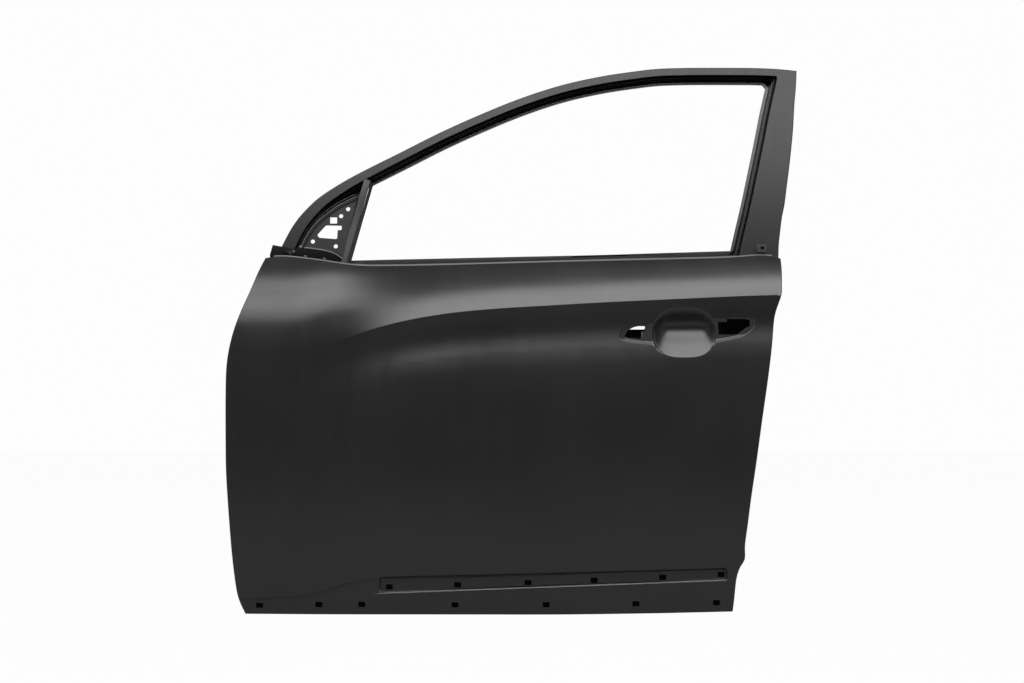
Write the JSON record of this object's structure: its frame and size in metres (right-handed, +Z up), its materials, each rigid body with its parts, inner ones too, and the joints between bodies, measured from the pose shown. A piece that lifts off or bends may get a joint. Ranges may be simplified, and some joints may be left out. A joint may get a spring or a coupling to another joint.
{
  "type": "car door shell",
  "caption": "Bare pressed-steel front left door shell with window frame, mirror corner, handle cup and hollow hinge-side pan.",
  "frame": {"origin": "centre of the upper hinge seat, on the flat hinge face of the inner panel", "axes": "+X to the rear of the car, +Y into the car, +Z up; the outer panel faces -Y"},
  "size_m": [1.1627, 0.234, 1.1144],
  "materials": {
    "primed_steel": "satin black electro-dip primer",
    "primed_brace_steel": "satin black electro-dip primer, thicker sheet",
    "mastic": "matt baked sealer"
  },
  "bodies": {
    "root": {"anti_flutter_pad_1": "mastic", "anti_flutter_pad_2": "mastic", "anti_flutter_pad_3": "mastic", "beam_front_bracket": "primed_brace_steel", "beam_rear_bracket": "primed_brace_steel", "belt_end_clip": "primed_steel", "check_link_brace": "primed_brace_steel", "damping_sheet": "mastic", "division_bar": "primed_steel", "division_glass_channel": "primed_steel", "handle_brace": "primed_brace_steel", "header_frame": "primed_steel", "impact_beam": "primed_brace_steel", "inner_belt_brace": "primed_brace_steel", "inner_panel": "primed_steel", "lock_brace": "primed_brace_steel", "lower_hinge_brace": "primed_brace_steel", "lower_hinge_nut_bottom": "primed_brace_steel", "lower_hinge_nut_top": "primed_brace_steel", "mirror_brace": "primed_brace_steel", "mirror_plate": "primed_steel", "outer_belt_brace": "primed_brace_steel", "outer_panel": "primed_steel", "rear_glass_channel": "primed_steel", "rear_sash_panel": "primed_steel", "roof_glass_channel": "primed_steel", "upper_hinge_brace": "primed_brace_steel", "upper_hinge_nut_bottom": "primed_brace_steel", "upper_hinge_nut_top": "primed_brace_steel"}
  },
  "joints": []
}
